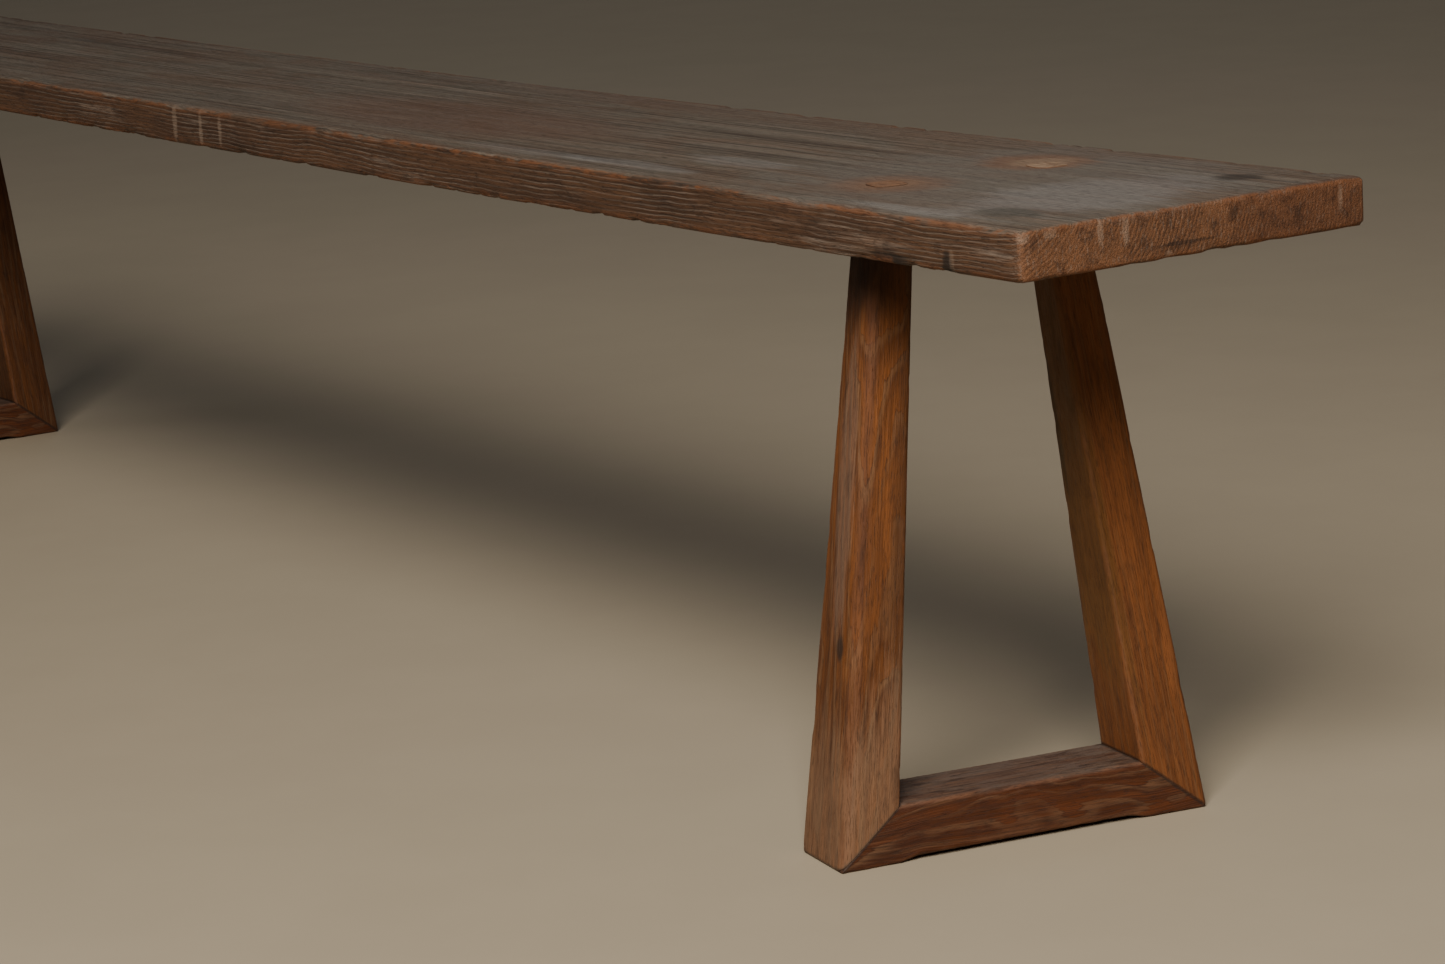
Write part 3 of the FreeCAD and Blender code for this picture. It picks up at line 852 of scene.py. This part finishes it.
@dataclass
class Piece:
    """Args:
        nodes: The CAD nodes that it stands for.
        slot: Its material slot; not used.
        finish: Its wood.
        wear: The wear tree's inputs, by name with _ for a space.
    """

    nodes: tuple[str, ...]
    slot: Slot
    finish: WoodFinish
    wear: dict[str, float]

    def shape(self) -> Shape:
        """Works out the piece's mesh.

        Returns:
            Its corners, faces, own coordinates and closeness to an arris.
        """
        raise NotImplementedError

    def facing(self, normals: np.ndarray) -> tuple[np.ndarray, np.ndarray]:
        """Works out the shares "top" and "end".

        Args:
            normals: The normal at each corner.

        Returns:
            The two shares at each corner.
        """
        return upward(normals), np.clip(np.abs(normals[:, 0]), 0, 1)

    @staticmethod
    def stand(mesh: bpy.types.Mesh) -> None:
        """Lifts what the wear has pushed below the floor back onto it."""
        places = np.empty(len(mesh.vertices) * 3, np.float32)
        mesh.vertices.foreach_get("co", places)
        places[2::3] = np.maximum(places[2::3], FLOOR_GAP)
        mesh.vertices.foreach_set("co", places)
        mesh.update()

    def build(self, surface: SurfaceTree) -> bpy.types.Object:
        """Makes the object, wears it, and ties it to the CAD nodes it stands for.

        Args:
            surface: The tree that wears it.

        Returns:
            The finished object.
        """
        corners, faces, grain, arris = self.shape()
        mesh = bpy.data.meshes.new(self.nodes[0])
        mesh.from_pydata(corners.tolist(), [], faces.tolist())
        mesh.update()
        normals = np.empty(len(corners) * 3, np.float32)
        mesh.vertices.foreach_get("normal", normals)
        top, end = self.facing(normals.reshape(-1, 3))
        own = mesh.attributes.new("grain", "FLOAT_VECTOR", "POINT")
        own.data.foreach_set("vector", grain.ravel())
        for name, share in (("top", top), ("end", end), ("arris", arris)):
            mesh.attributes.new(name, "FLOAT", "POINT").data.foreach_set("value", share)
        piece = bpy.data.objects.new(self.nodes[0] + "_looks", mesh)
        bpy.context.collection.objects.link(piece)
        surface.apply(piece, WoodTree(self.finish).build(), Seed=self.finish.seed, **self.wear)
        self.stand(piece.data)
        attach(piece, "root")
        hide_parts(*self.nodes)
        LOG.info("built %s: %d faces", piece.name, len(piece.data.polygons))
        return piece


@dataclass
class Plank(Piece):
    """The seat: bowed, wider to the right, its right end skewed, its corners and arrises worn."""

    stations: int = 520

    def shape(self) -> Shape:
        half = PLANK.length / 2
        xs = spread(PLANK.arris / half, self.stations)
        places, faces = lattice(xs, spread(PLANK.arris / 0.12, 30), spread(0.22, 7))
        x, share_y, share_z = places[:, 0] * half, places[:, 1], places[:, 2]
        share = (x + half) / PLANK.length
        half_y = (PLANK.width_left + (PLANK.width_right - PLANK.width_left) * share) / 2
        half_z = np.full_like(x, PLANK.thickness / 2)
        y, z = share_y * half_y, share_z * half_z
        wander = PLANK.arris_wander * np.sin(x * 9.0) * np.sin(x * 3.1 + 1.0)
        rounding = PLANK.arris * (1.0 + wander)
        x1, z = soften(x, z, half, half_z, PLANK.arris)
        y, z = soften(y, z, half_y, half_z, rounding)
        x1, y = soften(x1, y, half, half_y, np.where(y < 0, PLANK.corner, PLANK.rear_corner))
        near = np.minimum(half_y - np.abs(y), half - np.abs(x1))
        low = half_z - np.abs(z)
        arris = np.clip(1 - np.maximum(near, low) / (2.2 * PLANK.arris), 0, 1)
        fading = np.clip((x1 - half + PLANK.skew_run) / PLANK.skew_run, 0, 1)
        skew = PLANK.skew * (y / half_y + 1) / 2 * fading
        middle = PLANK.height - PLANK.thickness / 2
        world = np.stack([x1 - skew, y + PLANK.set_back, middle + z - PLANK.drop(x1)], axis=1)
        grain = np.stack([x1, y, middle + z], axis=1)
        return world, faces, grain, arris


@dataclass
class Member(Piece):
    """A leg or a rail: a tapered bar between two lines on its frame's plane.

    Args:
        side: The frame it belongs to.
        lines: The outer and the inner line on the frame's plane, each from its start to its end,
            as pairs of places along the frame and up.
        stations: How many rows of corners lie along it.
        radii: The radius of its edges at the floor and at the shoulder.
        worn_corner: What wear adds to that radius on the edge that faces outwards.
    """

    side: Side = Side.RIGHT
    lines: tuple = ()
    stations: int = 110
    radii: tuple[float, float] = (3.8 * MM, 4.2 * MM)
    worn_corner: float = 0.0

    @property
    def shoulder(self) -> float:
        """The height of the legs' shoulders in this frame."""
        at = PLANK.length / 2 - FRAME.inset[self.side]
        return PLANK.height - PLANK.thickness - FRAME.shoulder_gap - PLANK.drop(at)

    def world(self, n: np.ndarray, u: np.ndarray, z: np.ndarray) -> np.ndarray:
        """Turns places in the frame into places in the scene.

        Args:
            n, u, z: The places across, along and above the frame.

        Returns:
            The places as rows.
        """
        turn = math.radians(FRAME.turn[self.side])
        middle = self.side.out * (PLANK.length / 2 - FRAME.inset[self.side])
        return np.stack([middle + n * math.cos(turn) + u * math.sin(turn),
                         PLANK.set_back - n * math.sin(turn) + u * math.cos(turn), z], axis=1)

    def half_thickness(self, z: np.ndarray) -> np.ndarray:
        """Half the thickness across the frame at a height."""
        return (FRAME.thick_foot + (FRAME.thick_top - FRAME.thick_foot) * z / self.shoulder) / 2

    def across(self, z: np.ndarray, share: np.ndarray) -> np.ndarray:
        """The place across the frame at a height, share -1 on one face and 1 on the other."""
        rise = z / self.shoulder
        return self.side.out * FRAME.rake * (1 - rise) + share * self.half_thickness(z)

    def bar(self) -> tuple[np.ndarray, ...]:
        """Works out the bar.

        Returns:
            Its corners along and up the frame, their shares across it, its faces, its own
            coordinates and its closeness to an arris.
        """
        places, faces = lattice(spread(0.02, self.stations), spread(0.2, 8), spread(0.2, 8))
        along, q, m = (places[:, 0] + 1) / 2, places[:, 1], places[:, 2]
        (a, b), (d, c) = [np.array(line) for line in self.lines]
        outer = a + (b - a) * along[:, None]
        inner = d + (c - d) * along[:, None]
        half_q = np.linalg.norm(inner - outer, axis=1) / 2
        z_middle = (outer[:, 1] + inner[:, 1]) / 2
        half_m = self.half_thickness(z_middle)
        radius = self.radii[0] + (self.radii[1] - self.radii[0]) * z_middle / self.shoulder
        facing_out = (q < 0) & (m * self.side.out > 0)
        rounding = radius + np.where(facing_out, self.worn_corner, 0.0)
        q1, m1 = soften(q * half_q, m * half_m, half_q, half_m, rounding)
        near = np.maximum(half_q - np.abs(q1), half_m - np.abs(m1))
        arris = np.clip(1 - near / (1.6 * radius), 0, 1)
        share = (q1 / half_q + 1)[:, None] / 2
        plane = outer + (inner - outer) * share
        toe = np.clip(1 - plane[:, 1] / FRAME.toe, 0, 1) ** 2 * FRAME.toe * FRAME.toe_wear
        foot = np.where(plane[:, 0] < 0, FRAME.foot[End.FRONT], FRAME.foot[End.REAR])
        reach = np.clip(1 - (foot - np.abs(plane[:, 0])) / FRAME.toe, 0, 1)
        plane[:, 0] -= np.sign(plane[:, 0]) * toe * reach
        length = np.linalg.norm((b + c) / 2 - (a + d) / 2)
        grain = np.stack([along * length, q1, m1], axis=1)
        return plane[:, 0], plane[:, 1], m1 / half_m, faces, grain, arris


@dataclass
class Leg(Member):
    """A leg with its tenon, a bar that leans outwards and stands on the rail's mitre."""

    end: End = End.FRONT

    def __post_init__(self) -> None:
        way, foot = self.end.way, FRAME.foot[self.end]
        self.lines = (((way * foot, 0.0), (way * FRAME.top_out, self.shoulder)),
                      ((way * (foot - FRAME.mitre_run), FRAME.rail_height),
                       (way * FRAME.top_in, self.shoulder)))

    def tenon_middle(self, z: np.ndarray) -> np.ndarray:
        """The middle of the tenon at a height, as a place along the frame."""
        foot = FRAME.foot[self.end]
        outside = foot + (FRAME.top_out - foot) * z / self.shoulder
        low = foot - FRAME.mitre_run
        rise = (z - FRAME.rail_height) / (self.shoulder - FRAME.rail_height)
        inside = low + (FRAME.top_in - low) * rise
        return self.end.way * (outside + inside) / 2

    def shape(self) -> Shape:
        u, z, m, faces, grain, arris = self.bar()
        if self.end is End.FRONT:
            faces = faces[:, ::-1]
        bar = self.world(self.across(z, m), u, z)
        places, tenon_faces = lattice(spread(0.1, 6), spread(0.1, 6), np.linspace(-1, 1, 6))
        low = self.shoulder - FRAME.tenon_root
        high = self.shoulder + PLANK.thickness + FRAME.tenon_proud
        height = low + (high - low) * (places[:, 2] + 1) / 2
        half_n, half_u = FRAME.tenon_thickness / 2, FRAME.tenon_depth / 2
        tn, tu = soften(places[:, 0] * half_n, places[:, 1] * half_u, half_n, half_u,
                        FRAME.tenon_corner)
        tenon = self.world(tn, self.tenon_middle(height) + tu, height)
        tenon_grain = np.stack([height, tu, tn], axis=1)
        return (np.concatenate([bar, tenon]), np.concatenate([faces, tenon_faces + len(bar)]),
                np.concatenate([grain, tenon_grain]), np.concatenate([arris, np.zeros(len(tenon))]))

    def facing(self, normals: np.ndarray) -> tuple[np.ndarray, np.ndarray]:
        return np.zeros(len(normals)), np.clip(normals[:, 2] * 2.0 - 1.0, 0, 1)


@dataclass
class Rail(Member):
    """The floor rail between the feet, with a shallow hollow underneath."""

    def __post_init__(self) -> None:
        front, rear = FRAME.foot[End.FRONT], FRAME.foot[End.REAR]
        self.lines = (((-front, 0.0), (rear, 0.0)),
                      ((-(front - FRAME.mitre_run), FRAME.rail_height),
                       (rear - FRAME.mitre_run, FRAME.rail_height)))

    def shape(self) -> Shape:
        u, z, m, faces, grain, arris = self.bar()
        pad = np.minimum(u + FRAME.foot[End.FRONT], FRAME.foot[End.REAR] - u) - FRAME.rail_pad
        lift = np.clip(pad / FRAME.rail_relief_run, 0, 1) * FRAME.rail_relief
        z = z + lift * np.clip(1 - z / FRAME.rail_height, 0, 1)
        return self.world(self.across(z, m), u, z), faces, grain, arris

    def facing(self, normals: np.ndarray) -> tuple[np.ndarray, np.ndarray]:
        return upward(normals), np.zeros(len(normals))


@dataclass
class Bench:
    """The whole bench: the plank, four legs, two rails, and the small CAD pieces that stay.

    Args:
        surface: The tree that wears the pieces.
    """

    frame: dict
    surface: SurfaceTree = field(default_factory=SurfaceTree)

    # the left frame's legs take the darker copies, painted shade for the weaker light there
    LEG_FINISHES = {(Side.RIGHT, End.FRONT): FRONT_LEG, (Side.RIGHT, End.REAR): REAR_LEG,
                    (Side.LEFT, End.FRONT): SHADED_FAR_FRONT_LEG, (Side.LEFT, End.REAR): SHADED_FAR_REAR_LEG}
    WORN_CORNERS = {End.FRONT: 8.0 * MM, End.REAR: 0.0}
    PLANK_WEAR = {"Unevenness": 0.7 * MM, "Chip_Depth": 3.2 * MM}
    LEG_WEAR = {"Unevenness": 0.6 * MM, "Chip_Depth": 1.2 * MM}
    RAIL_WEAR = {"Unevenness": 0.4 * MM, "Chip_Depth": 1.0 * MM, "Saw_Mark_Depth": 0.08 * MM}

    def pieces(self) -> list[Piece]:
        """Lists every piece that is built here."""
        found: list[Piece] = [Plank(("seat_plank",), Slot.PLANK, PLANK_FINISH, self.PLANK_WEAR)]
        for side in Side:
            for end in End:
                found.append(Leg((f"leg_{end.value}_{side.value}",), Slot.LEG,
                                 self.LEG_FINISHES[side, end], self.LEG_WEAR, side=side, end=end,
                                 worn_corner=self.WORN_CORNERS[end]))
            found.append(Rail((f"floor_rail_{side.value}",), Slot.RAIL, RAIL_FINISH, self.RAIL_WEAR,
                              side=side, stations=80, radii=(3.5 * MM, 3.5 * MM)))
        return found

    def build(self) -> None:
        """Builds every piece and gives the CAD pieces that stay their materials."""
        for piece in self.pieces():
            piece.build(self.surface)
        wedge = plain_wood("wedge wood", (0.20, 0.10, 0.05), (0.07, 0.03, 0.015))
        key = plain_wood("key wood", (0.25, 0.13, 0.06), (0.10, 0.045, 0.02))
        small = {"wedge": (Slot.WEDGE, wedge), "mitre_key": (Slot.KEY, key)}
        for name, node in self.frame["nodes"].items():
            for start, (slot, material) in small.items():
                if name.startswith(start):
                    node.data.materials.clear()
                    node.data.materials.append(material)


@dataclass(frozen=True)
class Lamp:
    """A square soft light.

    Args:
        name: Its name.
        place: Where it stands.
        target: What it faces.
        size: The length of its sides.
        power: Its power in watts.
        colour: Its colour.
    """

    name: str
    place: Place
    target: Place
    size: float
    power: float
    colour: Colour

    def hang(self) -> None:
        """Adds the light to the scene."""
        lamp = bpy.data.lights.new(self.name, "AREA")
        lamp.shape, lamp.size = "SQUARE", self.size
        lamp.energy, lamp.color = self.power, self.colour
        holder = bpy.data.objects.new(self.name, lamp)
        holder.location = self.place
        towards = Vector(self.target) - Vector(self.place)
        holder.rotation_euler = towards.to_track_quat("-Z", "Y").to_euler()
        bpy.context.collection.objects.link(holder)


@dataclass(frozen=True)
class View:
    """The camera: a long lens a little above the seat, off its right front corner.

    Args:
        place: Where it stands.
        yaw, pitch, roll: How far it looks left of +Y, looks down and tilts, in degrees.
        lens, sensor: Its focal length and its sensor's width, in millimetres.
    """

    place: Place = (3.1968, -1.6269, 0.8308)
    yaw: float = 57.8
    pitch: float = 11.82
    roll: float = -3.357
    lens: float = 104.6
    sensor: float = 36.0

    def set_up(self) -> None:
        """Adds the camera and makes it the scene's."""
        yaw, pitch, roll = (math.radians(angle) for angle in (self.yaw, self.pitch, self.roll))
        forward = Vector((-math.sin(yaw) * math.cos(pitch), math.cos(yaw) * math.cos(pitch),
                          -math.sin(pitch)))
        level = Vector((math.cos(yaw), math.sin(yaw), 0.0))
        up = level.cross(forward)
        right = level * math.cos(roll) + up * math.sin(roll)
        up = up * math.cos(roll) - level * math.sin(roll)
        data = bpy.data.cameras.new("camera")
        data.lens, data.sensor_width, data.sensor_fit = self.lens, self.sensor, "HORIZONTAL"
        holder = bpy.data.objects.new("camera", data)
        turned = Matrix((right, up, -forward)).transposed().to_4x4()
        holder.matrix_world = Matrix.Translation(self.place) @ turned
        bpy.context.collection.objects.link(holder)
        bpy.context.scene.camera = holder


@dataclass
class Studio:
    """A plain floor, soft light and the camera.

    Args:
        floor_colour, floor_mottle: The floor's colour and its faint mottling.
        floor_reach: Half the length of the floor's sides.
        lamps: The lights.
        sky, sky_power: The colour and the strength of the light from all round.
        view: The camera.
    """

    floor_colour: Colour = (0.365, 0.300, 0.208)
    floor_mottle: Colour = (0.265, 0.215, 0.15)
    floor_reach: float = 20.0
    lamps: tuple[Lamp, ...] = (
        Lamp("key", (3.4, -2.4, 3.2), (0.4, 0.1, 0.2), 2.2, 360.0, (1.0, 0.96, 0.91)),
        Lamp("fill", (-2.0, -3.5, 2.2), (0.0, 0.0, 0.3), 2.5, 14.0, (0.95, 0.97, 1.0)),
        Lamp("far", (-6.0, 4.6, 4.2), (-5.6, 4.3, 0.0), 4.5, 30.0, (0.90, 0.94, 1.0)))
    sky: Colour = (0.55, 0.56, 0.60)
    sky_power: float = 0.065
    view: View = View()

    def floor(self) -> None:
        """Lays the floor."""
        mesh = bpy.data.meshes.new("floor")
        reach = self.floor_reach
        mesh.from_pydata([(-reach, -reach, 0), (reach, -reach, 0), (reach, reach, 0),
                          (-reach, reach, 0)], [], [(0, 1, 2, 3)])
        tree = Tree("floor")
        mottle = tree.noise(tree.add("ShaderNodeTexCoord", out=3), 6.0, 5.0, 0.6)
        colour = tree.veil(self.floor_colour, self.floor_mottle, mottle, 0.35, 0.65, 0.10)
        mesh.materials.append(tree.finish(colour, 0.62))
        floor = bpy.data.objects.new("floor", mesh)
        bpy.context.collection.objects.link(floor)

    def air(self) -> None:
        """Sets the light from all round."""
        world = bpy.data.worlds.new("studio")
        world.use_nodes = True
        ground = world.node_tree.nodes["Background"]
        ground.inputs[0].default_value = (*self.sky, 1.0)
        ground.inputs[1].default_value = self.sky_power
        bpy.context.scene.world = world

    def build(self) -> None:
        """Sets the whole studio."""
        self.floor()
        for lamp in self.lamps:
            lamp.hang()
        self.air()
        self.view.set_up()


def main() -> None:
    """Builds the scene; each piece notes its face count once built."""
    logging.basicConfig(level=logging.INFO, format="%(name)s: %(message)s")
    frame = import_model()
    Bench(frame).build()
    Studio().build()


if __name__ == "__main__":
    main()
